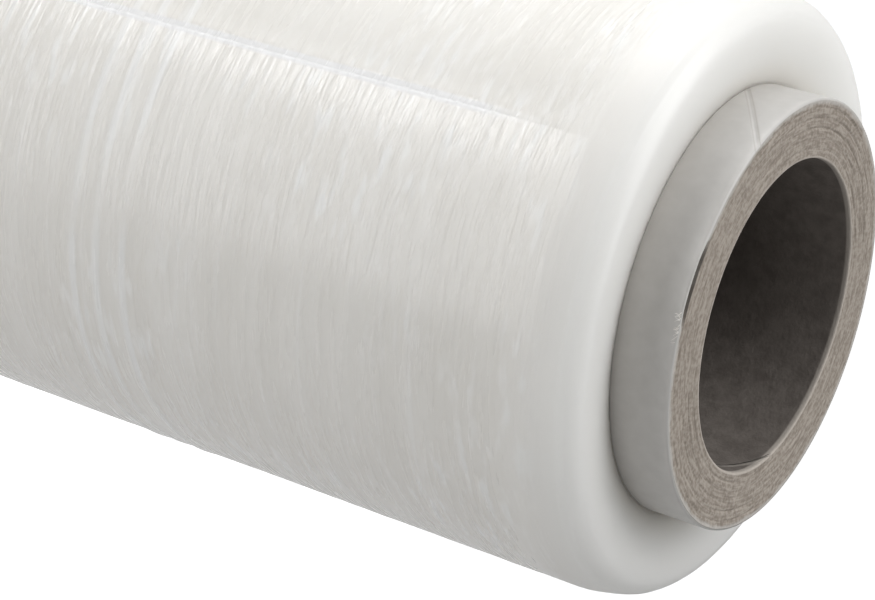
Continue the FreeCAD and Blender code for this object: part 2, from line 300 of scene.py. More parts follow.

# %% [markdown]
# ## The film
# Wound film is clear, but hundreds of turns scatter the light and look milky. The
# outside is glossy, with streaks, and the end face is smooth and duller. Light that
# enters the surface and comes out again carries the milkiness. The streaks go into the
# tone, the gloss and the bump, and they break up the reflections as on brushed metal.
# Painted highlights lighten the dashes, streak lines, ridges and free end, and painted
# shade darkens the end face next to the tube.

# %% The film's finish
FILM_COLOUR = (0.885, 0.862, 0.815, 1)
FILM_SHADE = (0.84, 0.818, 0.772, 1)
# Painted highlight: the colour that dashes, streak lines and ridges are lightened towards.
FILM_HIGHLIGHT = (0.985, 0.965, 0.925, 1)
# Painted highlight along the edge of the free end.
TAIL_HIGHLIGHT = (1.0, 0.995, 0.98, 1)
FACE_COLOUR = (0.935, 0.905, 0.855, 1)
# Painted shade where the end face meets the tube, warmed by the tube's colour through the
# film.
TUBE_CONTACT_SHADE = (0.92, 0.865, 0.79, 1)
TAIL_BEARING = math.radians(-110)
TAIL_FADE = (22 * MM, 46 * MM)
RIDGES = (10.6 * MM, 91.0 * MM, 96.4 * MM, 101.2 * MM)
BROAD_BUMP = 0.8 * MM
FINE_BUMP = 0.24 * MM
OUTSIDE_ROUGHNESS = 0.13
FACE_ROUGHNESS = 0.42
STREAK_ROUGHNESS = 0.26
DEPTH_AT_TUBE = 8 * MM
DEPTH_FURTHER_OUT = 20 * MM


def film_highlight_marks(tree, where, wound):
    """Where painted highlights lighten the film's outside: 1 on a dash, a streak line
    or a ridge, and 0 on plain film."""
    lines = use_group(tree, STREAKS, Length=0.045, Width=0.0013, Detail=1.0, Seed=47.0)
    dashes = use_group(tree, STREAKS, Length=0.006, Width=0.0015, Detail=1.5, Seed=29.0)
    patches = new_node(tree, "ShaderNodeTexNoise", "patches", Scale=38.0, Detail=2.0)
    tree.links.new(where, patches.inputs["Vector"])
    rough_patch = ramp(tree, patches.outputs["Fac"], 0.42, 0.56)
    dash = math_node(tree, "MULTIPLY", ramp(tree, dashes.outputs[0], 0.48, 0.70),
                     rough_patch)
    line = math_node(tree, "MULTIPLY", ramp(tree, lines.outputs[0], 0.62, 0.76), 0.5)
    marks = math_node(tree, "MULTIPLY", math_node(tree, "MAXIMUM", dash, line), wound)
    for below in RIDGES:
        band = use_group(tree, RIDGE_BAND, Below_Rim=below, Half_Width=1.0 * MM)
        broken = math_node(tree, "MULTIPLY", band.outputs[0],
                           ramp(tree, patches.outputs["Fac"], 0.25, 0.50))
        marks = math_node(tree, "MAXIMUM", marks, broken)
    return marks


def tail_line(tree, axes):
    """The knotty line of the free end, lightened by a painted highlight. It fades out near
    the upper end.
    """
    line = use_group(tree, SCREW_LINE, Bearing=TAIL_BEARING, Half_Width=1.2 * MM)
    knots = use_group(tree, STREAKS, Length=0.5, Width=0.006, Detail=3.0, Seed=61.0)
    knotty = math_node(tree, "MULTIPLY", line.outputs[0],
                       ramp(tree, knots.outputs[0], 0.15, 0.48))
    below_rim = math_node(tree, "SUBTRACT", ROLL_LENGTH, axes.outputs[2])
    return math_node(tree, "MULTIPLY", knotty, ramp(tree, below_rim, *TAIL_FADE))


def film_finish():
    material, tree, shader = new_material("milky_film")
    where, axes, radius = axis_parts(tree)
    middle = math_node(tree, "SUBTRACT", axes.outputs[2], ROLL_LENGTH / 2)
    from_middle = math_node(tree, "ABSOLUTE", middle)
    half = (film_high.z - film_low.z) / 2
    wound = math_node(tree, "SUBTRACT", 1.0,
                      ramp(tree, from_middle, half - 9 * MM, half - 3 * MM))
    plain = ramp(tree, from_middle, half - 16 * MM, half - 1 * MM)
    fine = use_group(tree, STREAKS, Length=0.012, Width=0.0011, Detail=3.0, Seed=3.0)
    broad = use_group(tree, STREAKS, Length=0.05, Width=0.005, Detail=2.0, Seed=11.0)
    clouds = new_node(tree, "ShaderNodeTexNoise", "clouds", Scale=30.0, Detail=2.0)
    tree.links.new(where, clouds.inputs["Vector"])
    marks = film_highlight_marks(tree, where, wound)
    tail_mark = tail_line(tree, axes)
    marks = math_node(tree, "MAXIMUM", marks, tail_mark)
    tone = math_node(tree, "ADD", clouds.outputs["Fac"], broad.outputs[0])
    colour = mix_colour(tree, ramp(tree, tone, 0.75, 1.25), FILM_SHADE, FILM_COLOUR)
    # Painted highlights on the dashes, streak lines and ridges.
    colour = mix_colour(tree, math_node(tree, "MULTIPLY", marks, 0.75), colour, FILM_HIGHLIGHT)
    # Painted highlight along the free end.
    colour = mix_colour(tree, tail_mark, colour, TAIL_HIGHLIGHT)
    colour = mix_colour(tree, plain, colour, FACE_COLOUR)
    # Painted shade on the end face next to the tube, with the tube's warm colour through
    # the film.
    near_core = ramp(tree, radius, TUBE_R - 2 * MM, TUBE_R + 6 * MM)
    colour = mix_colour(tree, near_core, TUBE_CONTACT_SHADE, colour)
    tree.links.new(colour, shader.inputs["Base Color"])
    satin = math_node(tree, "MULTIPLY_ADD", plain, FACE_ROUGHNESS - OUTSIDE_ROUGHNESS,
                      OUTSIDE_ROUGHNESS)
    rough = math_node(tree, "MULTIPLY", fine.outputs[0], wound)
    rough = math_node(tree, "MULTIPLY_ADD", rough, STREAK_ROUGHNESS, satin)
    tree.links.new(rough, shader.inputs["Roughness"])
    relief = math_node(tree, "MULTIPLY", fine.outputs[0], wound)
    relief = math_node(tree, "MULTIPLY_ADD", marks, 0.2, relief)
    relief = math_node(tree, "MULTIPLY_ADD", tail_mark, 0.15, relief)
    broad_relief = math_node(tree, "MULTIPLY", broad.outputs[0], wound)
    normal = bump(tree, broad_relief, BROAD_BUMP, 0.4)
    normal = bump(tree, relief, FINE_BUMP, 0.9, normal)
    tree.links.new(normal, shader.inputs["Normal"])
    shader.inputs["Subsurface Weight"].default_value = 1.0
    shader.inputs["Subsurface Radius"].default_value = (1.0, 1.0, 1.0)
    depth = math_node(tree, "MULTIPLY_ADD", near_core, DEPTH_FURTHER_OUT - DEPTH_AT_TUBE,
                      DEPTH_AT_TUBE)
    tree.links.new(depth, shader.inputs["Subsurface Scale"])
    shader.inputs["IOR"].default_value = 1.5
    shader.inputs["Specular IOR Level"].default_value = 0.8
    return material


milky_film = film_finish()
print("film material", milky_film.name)

# %% [markdown]
# ## The shape of the wound film
# One outline is spun round the axis. The outline's outer corners are rounded in a
# squashed drawing and then stretched, because the real shoulder is longer along the
# roll than it is deep. The spin goes in small steps beside the free end, so that the
# last turn's step and curled edge are sharp, and in even steps elsewhere.

# %% Spin the film
FACE_DIP = 2.0 * MM
SHOULDER_ACROSS = 4.6 * MM
SHOULDER_ALONG = 9.0 * MM
SHOULDER_STEPS = 12
TURN_STEP = 0.16 * MM
TAIL_STEPS = 6
TAIL_SPREAD = math.radians(1.2)
STEP_SPREAD = math.radians(0.02)
SECTORS = 10
SECTOR_STEPS = 19
FINE_PART = 0.135
FINE_ROW = 0.9 * MM
COARSE_ROW = 3.5 * MM
FACE_CUTS = 14


def film_outline(mesh):
    """The half section as a loop of edges in the XZ plane. Gives back the height from
    which its rows are fine."""
    squash = SHOULDER_ACROSS / SHOULDER_ALONG
    fine_from = ROLL_LENGTH - FINE_PART
    corners = [
        (TUBE_R, film_low.z), (FILM_R, film_low.z), (FILM_R, fine_from),
        (FILM_R, film_high.z), (TUBE_R, film_high.z),
    ]
    points = [mesh.verts.new((x, 0, z * squash)) for x, z in corners]
    for i, point in enumerate(points):
        mesh.edges.new((point, points[(i + 1) % len(points)]))
    bmesh.ops.bevel(mesh, geom=[points[1], points[3]], offset=SHOULDER_ACROSS,
                    segments=SHOULDER_STEPS, profile=0.5, affect="VERTICES",
                    material=-1, offset_type="OFFSET")
    bmesh.ops.scale(mesh, vec=(1, 1, 1 / squash), verts=mesh.verts)
    return fine_from


def divide_long_edges(mesh, fine_from):
    """Cut the straight sides into rows, fine near the upper end."""
    for edge in list(mesh.edges):
        a, b = (v.co for v in edge.verts)
        if abs(a.x - b.x) < 1e-6 and a.x > TUBE_R + MM:
            row = FINE_ROW if min(a.z, b.z) > fine_from - MM else COARSE_ROW
            if abs(a.z - b.z) > 3 * MM:
                cuts = int(abs(a.z - b.z) / row)
                bmesh.ops.subdivide_edges(mesh, edges=[edge], cuts=cuts)
        elif abs(a.z - b.z) < 1e-6 and abs(a.x - b.x) > 3 * MM:
            bmesh.ops.subdivide_edges(mesh, edges=[edge], cuts=FACE_CUTS)


def spin_steps(mesh, outline, angle, steps):
    """Spin an outline about the roll's axis and give back its last copy."""
    turned = bmesh.ops.spin(mesh, geom=outline, axis=(0, 0, 1), cent=(0, 0, 0),
                            angle=angle, steps=steps, use_duplicate=False)
    return turned["geom_last"]


def spin_sectors(mesh, outline, angle, sectors, steps):
    """The same in sectors: one is spun in steps and then copied round. Spinning many
    steps at once gets slow, and copies don't."""
    before = set(mesh.faces)
    spin_steps(mesh, outline, angle / sectors, steps)
    sector = [face for face in mesh.faces if face not in before]
    points = {point for face in sector for point in face.verts}
    sides = {side for face in sector for side in face.edges}
    bmesh.ops.spin(mesh, geom=[*points, *sides, *sector], axis=(0, 0, 1), cent=(0, 0, 0),
                   angle=angle * (sectors - 1) / sectors, steps=sectors - 1,
                   use_duplicate=True)


def close_ring(mesh):
    bmesh.ops.remove_doubles(mesh, verts=mesh.verts, dist=0.004 * MM)
    bmesh.ops.recalc_face_normals(mesh, faces=mesh.faces)


def smooth_between(value, low, high):
    share = min(max((value - low) / (high - low), 0.0), 1.0)
    return share * share * (3 - 2 * share)


def winding_height(theta, z):
    """How far the windings stand out, by bearing and height, in metres."""
    around = Vector((math.cos(theta), math.sin(theta), 0))
    slow = noise.noise(around * 0.9 + Vector((0, 0, z / (9 * MM)))) * 0.06 * MM
    quick = noise.noise(around * 1.6 + Vector((5, 0, z / (2.2 * MM)))) * 0.045 * MM
    return slow + quick


RIDGE_HEIGHT = 0.13 * MM
RIDGE_HALF_WIDTH = 0.75 * MM
HOLLOW_BESIDE = 2.9 * MM
HOLLOW_HALF_WIDTH = 2.0 * MM
BEAD_HEIGHT = 0.20 * MM
BEAD_MIDDLE = 0.30 * MM
BEAD_HALF_WIDTH = 0.28 * MM
GROW_LIMIT = 0.17 * MM


def ridge_height(z, theta):
    """The ridges round the roll, and the hollow beside the one on the shoulder."""
    around = Vector((math.cos(theta), math.sin(theta), 7.0))
    below = ROLL_LENGTH - z - noise.noise(around) * 0.5 * MM
    total = 0.0
    for ridge in RIDGES:
        away = (below - ridge) / RIDGE_HALF_WIDTH
        total += RIDGE_HEIGHT * math.exp(-away * away)
    hollow = (below - RIDGES[0] - HOLLOW_BESIDE) / HOLLOW_HALF_WIDTH
    return total - RIDGE_HEIGHT * math.exp(-hollow * hollow)


def tail_height(arc, z):
    """The curled free end: a small bead whose height wanders along the roll."""
    knots = 0.75 + 0.5 * noise.noise(Vector((z / (7 * MM), 3.0, 0)))
    fade = smooth_between(ROLL_LENGTH - z, *TAIL_FADE)
    away = (arc - BEAD_MIDDLE) / BEAD_HALF_WIDTH
    return BEAD_HEIGHT * knots * (0.05 + 0.95 * fade) * math.exp(-away * away)


def shape_film(mesh):
    """Sink the end faces, and give the outside its step, windings, ridges and bead. It
    stays within the solid's own box."""
    full_turn = 2 * math.pi
    crown_r = FILM_R - SHOULDER_ACROSS
    for vert in mesh.verts:
        r = math.hypot(vert.co.x, vert.co.y)
        if r < TUBE_R + 0.01 * MM:
            end = math.copysign(1, vert.co.z - ROLL_LENGTH / 2)
            vert.co.z -= end * FACE_DIP
            continue
        theta = math.atan2(vert.co.y, vert.co.x)
        behind = (theta - TAIL_BEARING) % full_turn
        z = vert.co.z
        end = math.copysign(1, z - ROLL_LENGTH / 2)
        if r < crown_r:
            share = (crown_r - r) / (crown_r - TUBE_R)
            vert.co.z -= end * FACE_DIP * share * share
            continue
        depth = min(film_high.z - z, z - film_low.z)
        side = smooth_between(r, crown_r + 1.5 * MM, FILM_R)
        fade = smooth_between(ROLL_LENGTH - z, *TAIL_FADE)
        grow = -TURN_STEP * (fade * behind / full_turn + (1 - fade) / 2)
        grow += winding_height(theta, z) * smooth_between(depth, 4 * MM, 14 * MM)
        grow += ridge_height(z, theta)
        grow += tail_height(behind * FILM_R, z)
        grow = min(grow, GROW_LIMIT)
        scale = (r + grow * side) / r
        vert.co.x *= scale
        vert.co.y *= scale


def make_film():
    mesh = bmesh.new()
    fine_from = film_outline(mesh)
    divide_long_edges(mesh, fine_from)
    bmesh.ops.rotate(mesh, verts=mesh.verts, cent=(0, 0, 0),
                     matrix=Matrix.Rotation(TAIL_BEARING, 3, "Z"))
    outline = [*mesh.verts, *mesh.edges]
    spin_steps(mesh, outline, -STEP_SPREAD, 1)
    beside_tail = spin_steps(mesh, outline, TAIL_SPREAD, TAIL_STEPS)
    spin_sectors(mesh, beside_tail, 2 * math.pi - TAIL_SPREAD - STEP_SPREAD, SECTORS,
                 SECTOR_STEPS)
    close_ring(mesh)
    shape_film(mesh)
    data = bpy.data.meshes.new("wound_film")
    mesh.to_mesh(data)
    mesh.free()
    data.polygons.foreach_set("use_smooth", [True] * len(data.polygons))
    data.materials.append(milky_film)
    film = bpy.data.objects.new("wound_film", data)
    bpy.context.scene.collection.objects.link(film)
    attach(film, "root")
    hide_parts("film_roll")
    print("film has", len(data.polygons), "faces")


make_film()

# %% [markdown]
# ## The paperboard tube
# The tube is wound from grey board plies. The outermost ply is smoother and paler, the
# cut end is fibrous, with a ring for each ply, and the bore is darker board with painted
# shade. Which of these a point belongs to follows from its radius and height, so one
# material serves the tube. Marks follow on top: the pressed rim, a painted shadow in the
# slit where the outer plies have parted, painted light on the edge of the innermost
# strip, and the seams, the inner one with a painted shadow.

# %% The tube's finish
PAPER_PALE = (0.58, 0.57, 0.552, 1)
PAPER_SHADE = (0.55, 0.54, 0.522, 1)
PRESSED_EDGE = (0.63, 0.615, 0.59, 1)
BOARD_LIGHT = (0.44, 0.39, 0.34, 1)
BOARD_DARK = (0.26, 0.222, 0.185, 1)
# The bore's colours are darker board with painted shade, for the shade inside the tube.
BORE_SHADED_PALE = (0.215, 0.19, 0.17, 1)
BORE_SHADED_DARK = (0.15, 0.13, 0.115, 1)
# The pale lip of the bore. As painted light it also lightens the innermost strip's edge,
# which faces the lamps.
BORE_LIP_AND_LIT_STRIP = (0.58, 0.53, 0.475, 1)
SEAM_SHADOW = (0.04, 0.035, 0.03, 1)
PEEL_FROM = math.radians(-104)
PEEL_TO = math.radians(-80)
SLIT_R = TUBE_R - 0.92 * MM
SLIT_HALF_WIDTH = 0.40 * MM
SLIT_CORE = 0.16 * MM
SLIT_BELOW_RIM = 3 * MM
SLIT_SPREAD = 1.15
SLIT_STRENGTH = 0.78
RAGGED_ALONG = 1.6 * MM
RAGGED_ACROSS = 1.2 * MM
PRESSED_STRENGTH = 0.6
LIP_STRENGTH = 0.7
STRIP_STRENGTH = 0.45
STRIP_HALF_WIDTH = 1.9 * MM
SEAM_STRENGTH = 0.95
SEAM_HALF_WIDTH = 0.85 * MM
CREASE_STRENGTH = 0.22
CREASE_HALF_WIDTH = 0.3 * MM
OUTER_PITCH = 0.142
INNER_PITCH = 0.056
CREASE_APART = 0.8 * MM
STRIP_OFFSET = 1.3 * MM
RINGS_PER_METRE = 2600.0
RING_BREAKS_PER_METRE = 300.0
PAPER_ROUGHNESS = 0.38
BOARD_ROUGHNESS = 0.80
FIBRE_BUMP = 0.22 * MM
RING_BUMP = 0.2 * MM
OUTER_SEAM = math.radians(-131)
INNER_SEAM = math.radians(33)


def lay_over(tree, mask, share, colour, mark):
    """Lay a mark's colour over another, by a mask and a share."""
    return mix_colour(tree, math_node(tree, "MULTIPLY", mask, share), colour, mark)


def distance_from_end(tree, axes):
    middle = math_node(tree, "SUBTRACT", axes.outputs[2], ROLL_LENGTH / 2)
    return math_node(tree, "SUBTRACT", ROLL_LENGTH / 2,
                     math_node(tree, "ABSOLUTE", middle))


def pressed_rim(tree, colour, from_end, radius, mottle):
    """The outermost ply's edge, which the saw pressed pale, with a ragged border."""
    ragged = math_node(tree, "MULTIPLY_ADD", mottle.outputs["Fac"], -RAGGED_ALONG, from_end)
    edge = math_node(tree, "SUBTRACT", 1.0, ramp(tree, ragged, -0.5 * MM, 0.5 * MM))
    outermost = math_node(tree, "MULTIPLY_ADD", mottle.outputs["Fac"], RAGGED_ACROSS,
                          radius)
    outermost = ramp(tree, outermost, TUBE_R - 0.55 * MM, TUBE_R + 0.05 * MM)
    outer_edge = math_node(tree, "MULTIPLY", edge, outermost)
    return lay_over(tree, outer_edge, PRESSED_STRENGTH, colour, PRESSED_EDGE)


def parted_plies(tree, colour, axes, radius):
    """A painted shadow in the slit between the outer plies, on one side of the upper rim.
    """
    off_slit = math_node(tree, "ABSOLUTE", math_node(tree, "SUBTRACT", radius, SLIT_R))
    slit = math_node(tree, "SUBTRACT", 1.0,
                     ramp(tree, off_slit, SLIT_CORE, SLIT_HALF_WIDTH))
    window = use_group(tree, SCREW_LINE, Bearing=(PEEL_FROM + PEEL_TO) / 2,
                       Half_Width=(PEEL_TO - PEEL_FROM) / 2 * TUBE_R * SLIT_SPREAD)
    slit = math_node(tree, "MULTIPLY", slit, window.outputs[0])
    upper = math_node(tree, "GREATER_THAN", axes.outputs[2], ROLL_LENGTH - SLIT_BELOW_RIM)
    slit = math_node(tree, "MULTIPLY", slit, upper)
    return lay_over(tree, slit, SLIT_STRENGTH, colour, SEAM_SHADOW)


def bore_marks(tree, colour, from_end, radius, inside):
    """The pale lip of the bore, painted light on the edge of the innermost strip, and a
    painted shadow along its seam.
    """
    lip = math_node(tree, "SUBTRACT", 1.0,
                    ramp(tree, radius, BORE_R + 0.30 * MM, BORE_R + 0.50 * MM))
    at_end = math_node(tree, "SUBTRACT", 1.0, ramp(tree, from_end, 0.7 * MM, 1.1 * MM))
    lip = math_node(tree, "MULTIPLY", lip, at_end)
    colour = lay_over(tree, lip, LIP_STRENGTH, colour, BORE_LIP_AND_LIT_STRIP)
    rate = 2 * math.pi / INNER_PITCH
    # Painted light on the edge of the innermost strip beside the seam, where it faces the
    # lamps.
    strip = use_group(tree, SCREW_LINE, Bearing=INNER_SEAM - STRIP_OFFSET / BORE_R,
                      Turn_Rate=rate, Half_Width=STRIP_HALF_WIDTH)
    strip_mask = math_node(tree, "MULTIPLY", strip.outputs[0], inside)
    colour = lay_over(tree, strip_mask, STRIP_STRENGTH, colour, BORE_LIP_AND_LIT_STRIP)
    # Painted shadow along the inner seam, cast by the ply's edge.
    seam = use_group(tree, SCREW_LINE, Bearing=INNER_SEAM, Turn_Rate=rate,
                     Half_Width=SEAM_HALF_WIDTH)
    seam_mask = math_node(tree, "MULTIPLY", seam.outputs[0], inside)
    return lay_over(tree, seam_mask, SEAM_STRENGTH, colour, SEAM_SHADOW)


def outer_creases(tree, colour, outside):
    """The two hairlines beside the outer seam."""
    rate = 2 * math.pi / OUTER_PITCH
    for side in (-1, 1):
        crease = use_group(tree, SCREW_LINE, Turn_Rate=rate, Half_Width=CREASE_HALF_WIDTH,
                           Bearing=OUTER_SEAM + side * CREASE_APART / TUBE_R)
        crease_mask = math_node(tree, "MULTIPLY", crease.outputs[0], outside)
        colour = lay_over(tree, crease_mask, CREASE_STRENGTH, colour, BOARD_DARK)
    return colour


def tube_finish():
    material, tree, shader = new_material("grey_paperboard")
    where, axes, radius = axis_parts(tree)
    fibre = new_node(tree, "ShaderNodeTexNoise", "fibres", Scale=1400.0, Detail=4.0)
    tree.links.new(where, fibre.inputs["Vector"])
    mottle = new_node(tree, "ShaderNodeTexNoise", "mottle", Scale=420.0, Detail=5.0)
    tree.links.new(where, mottle.inputs["Vector"])
    ring_where = tree.nodes.new("ShaderNodeCombineXYZ")
    tree.links.new(math_node(tree, "MULTIPLY", radius, RINGS_PER_METRE),
                   ring_where.inputs[0])
    for side in (0, 1):
        along = math_node(tree, "MULTIPLY", axes.outputs[side], RING_BREAKS_PER_METRE)
        tree.links.new(along, ring_where.inputs[side + 1])
    rings = new_node(tree, "ShaderNodeTexNoise", "plies", Scale=1.0, Detail=2.0)
    tree.links.new(ring_where.outputs[0], rings.inputs["Vector"])
    grain = math_node(tree, "ADD", rings.outputs["Fac"], fibre.outputs["Fac"])
    board = mix_colour(tree, ramp(tree, grain, 0.72, 1.28), BOARD_DARK, BOARD_LIGHT)
    paper = mix_colour(tree, ramp(tree, mottle.outputs["Fac"], 0.3, 0.7),
                       PAPER_SHADE, PAPER_PALE)
    # The bore's colour carries painted shade.
    bore = mix_colour(tree, ramp(tree, mottle.outputs["Fac"], 0.25, 0.75), BORE_SHADED_DARK,
                      BORE_SHADED_PALE)
    outside = ramp(tree, radius, TUBE_R - 0.40 * MM, TUBE_R - 0.20 * MM)
    inside = math_node(tree, "SUBTRACT", 1.0,
                       ramp(tree, radius, BORE_R + 0.02 * MM, BORE_R + 0.12 * MM))
    colour = mix_colour(tree, outside, board, paper)
    colour = mix_colour(tree, inside, colour, bore)
    from_end = distance_from_end(tree, axes)
    colour = pressed_rim(tree, colour, from_end, radius, mottle)
    colour = parted_plies(tree, colour, axes, radius)
    colour = bore_marks(tree, colour, from_end, radius, inside)
    colour = outer_creases(tree, colour, outside)
    tree.links.new(colour, shader.inputs["Base Color"])
    rough = math_node(tree, "MULTIPLY_ADD", outside, PAPER_ROUGHNESS - BOARD_ROUGHNESS,
                      BOARD_ROUGHNESS)
    tree.links.new(rough, shader.inputs["Roughness"])
    uneven = math_node(tree, "SUBTRACT", 1.0, math_node(tree, "MULTIPLY", outside, 0.92))
    fibre_height = math_node(tree, "MULTIPLY", fibre.outputs["Fac"], uneven)
    ring_height_map = math_node(tree, "MULTIPLY", rings.outputs["Fac"], uneven)
    normal = bump(tree, fibre_height, FIBRE_BUMP, 0.5)
    normal = bump(tree, ring_height_map, RING_BUMP, 0.35, normal)
    tree.links.new(normal, shader.inputs["Normal"])
    return material


grey_paperboard = tube_finish()
print("tube material", grey_paperboard.name, "with", len(grey_paperboard.node_tree.nodes),
      "nodes")

# %% [markdown]
# ## The section of the tube
# The tube's section is a long loop: up the outside, over the sawn end, down the bore and
# over the other end. Its four corners are bevelled, and then planes cut it into rows,
# close together near the ends, where the camera looks, and wide apart in between.

# %% Outline of the tube
COLUMNS = 288
TUBE_SECTORS = 12
RIM_BEVEL = 0.5 * MM
RIM_MARGIN = 0.7 * MM
NEAR_END = 40 * MM
NEAR_ROW = 1.25 * MM
FAR_ROW = 9.1 * MM
RADIAL_ROW = 0.18 * MM


def cut_rows(mesh, axis, first, last, row):
    """Cut the outline by planes square to an axis, evenly from first to last."""
    count = round((last - first) / row)
    for i in range(count + 1):
        place = axis * (first + (last - first) * i / count)
        bmesh.ops.bisect_plane(mesh, geom=[*mesh.verts, *mesh.edges], dist=0.01 * MM,
                               plane_co=place, plane_no=axis)


def tube_outline(mesh):
    """The wall's section as a closed loop of edges in the XZ plane."""
    corners = [(TUBE_R, 0), (TUBE_R, ROLL_LENGTH), (BORE_R, ROLL_LENGTH), (BORE_R, 0)]
    points = [mesh.verts.new((x, 0, z)) for x, z in corners]
    for i, point in enumerate(points):
        mesh.edges.new((point, points[(i + 1) % len(points)]))
    bmesh.ops.bevel(mesh, geom=points, offset=RIM_BEVEL, segments=3, profile=0.5,
                    affect="VERTICES", material=-1, offset_type="OFFSET")
    up = Vector((0, 0, 1))
    out = Vector((1, 0, 0))
    cut_rows(mesh, up, NEAR_ROW, NEAR_END, NEAR_ROW)
    cut_rows(mesh, up, NEAR_END, ROLL_LENGTH - NEAR_END, FAR_ROW)
    cut_rows(mesh, up, ROLL_LENGTH - NEAR_END, ROLL_LENGTH - NEAR_ROW, NEAR_ROW)
    cut_rows(mesh, out, BORE_R + RIM_MARGIN, TUBE_R - RIM_MARGIN, RADIAL_ROW)
    print("tube outline has", len(mesh.verts), "points")


# %% [markdown]
# ## Columns that follow the seams
# The outermost and the innermost ply are strips of paper wound as a screw, and each
# leaves a seam where its edges meet. The columns of the mesh are twisted so that one of
# them runs along each seam near the ends. That column sinks into the wall and its two
# neighbours come close, which makes a narrow V. In the hidden middle the twist unwinds.

# %% Twist and seams
COLUMN_STEP = 2 * math.pi / COLUMNS
OPEN_RUN = 36 * MM
CLOSING_RUN = 4 * MM
OUTER_SEAM_WIDTH = 0.7 * MM
OUTER_SEAM_DEPTH = 0.09 * MM
INNER_SEAM_WIDTH = 0.55 * MM
INNER_SEAM_DEPTH = 0.5 * MM


def on_column(bearing):
    """The nearest column to a bearing. The first column lies on the inner seam."""
    return INNER_SEAM + round((bearing - INNER_SEAM) / COLUMN_STEP) * COLUMN_STEP


def seam_plan(rim_bearing, pitch):
    """For the upper and the lower end: the column of the seam, and how far the columns
    are turned there so that it lies exactly on the seam."""
    low_bearing = rim_bearing - 2 * math.pi * ROLL_LENGTH / pitch
    upper = on_column(rim_bearing)
    lower = on_column(low_bearing)
    return {"pitch": pitch, "upper": upper, "lower": lower,
            "upper_turn": rim_bearing - upper, "lower_turn": low_bearing - lower}


OUTER_PLAN = seam_plan(OUTER_SEAM, OUTER_PITCH)
INNER_PLAN = seam_plan(INNER_SEAM, INNER_PITCH)


def twist_at(plan, z):
    """How far the columns are turned at a height."""
    rate = 2 * math.pi / plan["pitch"]
    low_edge = plan["lower_turn"] + rate * NEAR_END
    high_edge = plan["upper_turn"] - rate * NEAR_END
    if z < NEAR_END:
        return plan["lower_turn"] + rate * z
    if z > ROLL_LENGTH - NEAR_END:
        return plan["upper_turn"] + rate * (z - ROLL_LENGTH)
    share = (z - NEAR_END) / (ROLL_LENGTH - 2 * NEAR_END)
    return low_edge + (high_edge - low_edge) * share


def seam_move(plan, bearing, z, r, width):
    """The extra turn and the depth, 0 to 1, that a seam gives a point of the wall."""
    column = plan["upper"] if z > ROLL_LENGTH / 2 else plan["lower"]
    turns = round((bearing - column) / COLUMN_STEP) % COLUMNS
    from_end = min(z, ROLL_LENGTH - z)
    strength = 1 - smooth_between(from_end, OPEN_RUN - CLOSING_RUN, OPEN_RUN)
    if turns == 0:
        return 0.0, strength
    if turns in (1, COLUMNS - 1):
        side = 1 if turns == 1 else -1
        return side * (width / 2 / r - COLUMN_STEP) * strength, 0.0
    return 0.0, 0.0


print("columns turn by", OUTER_PLAN["lower_turn"], "and", INNER_PLAN["lower_turn"])

# %% [markdown]
# ## The sawn end
# A saw leaves the edges of the plies at slightly different heights, with a gap here and
# there. Noise that is long round the tube and short across it gives the first, and five
# broken rings the second. On one side of the upper rim the outer plies have parted: a
# slit that bends them outwards a little.

# %% Ends of the tube
PLY_GAPS = 5
GAP_DEPTH = 0.35 * MM
GAP_HALF_WIDTH = 0.16 * MM
SAWN_LAYER = 0.45 * MM
SAWN_WAVE = 0.07 * MM
SAWN_GRAIN = 0.05 * MM
PEEL_R = TUBE_R - 0.62 * MM
PEEL_DEPTH = 1.7 * MM
PEEL_REACH = 6 * MM
PEEL_BEND = 0.40 * MM
PEEL_RISE = 0.12
PEEL_FALL = 0.10
PEEL_OUTER = PEEL_R + 0.2 * MM
PEEL_INNER = PEEL_R - 0.35 * MM


def sawn_depth(theta, r, end):
    """How far a point of the cut end lies below the rim."""
    around = Vector((math.cos(theta), math.sin(theta), 0))
    layer = Vector((0, 0, r / SAWN_LAYER + 40 * end))
    depth = SAWN_WAVE * (1 + noise.noise(around * 2.5 + layer))
    depth += SAWN_GRAIN * (1 + noise.noise(around * 14 + layer * 1.7))
    wall = TUBE_R - BORE_R
    for gap in range(1, PLY_GAPS + 1):
        middle = BORE_R + wall * gap / (PLY_GAPS + 1)
        away = (r - middle) / GAP_HALF_WIDTH
        if abs(away) < 2.5:
            open_here = 0.35 + noise.noise(around * 2.2 + Vector((gap * 5, 0, end)))
            depth += GAP_DEPTH * max(0.0, min(open_here, 0.8)) * math.exp(-away * away)
    return depth


def peel_share(theta):
    """1 along the parted plies, 0 away from them."""
    rise = smooth_between(theta, PEEL_FROM, PEEL_FROM + PEEL_RISE)
    return rise * (1 - smooth_between(theta, PEEL_TO - PEEL_FALL, PEEL_TO))


def turn_columns(z, end, from_end, outer_share):
    """How far a point is turned, so that the columns follow the seam on its side."""
    twist = (twist_at(OUTER_PLAN, z) * outer_share
             + twist_at(INNER_PLAN, z) * (1 - outer_share))
    if from_end < RIM_BEVEL and 0 < outer_share < 1:
        flat = "lower_turn" if end < 0 else "upper_turn"
        level = z if end < 0 else z - ROLL_LENGTH
        twist = OUTER_PLAN[flat] * outer_share + INNER_PLAN[flat] * (1 - outer_share)
        if outer_share > 0.9 or outer_share < 0.1:
            plan = OUTER_PLAN if outer_share > 0.5 else INNER_PLAN
            twist += 2 * math.pi / plan["pitch"] * level
    return twist


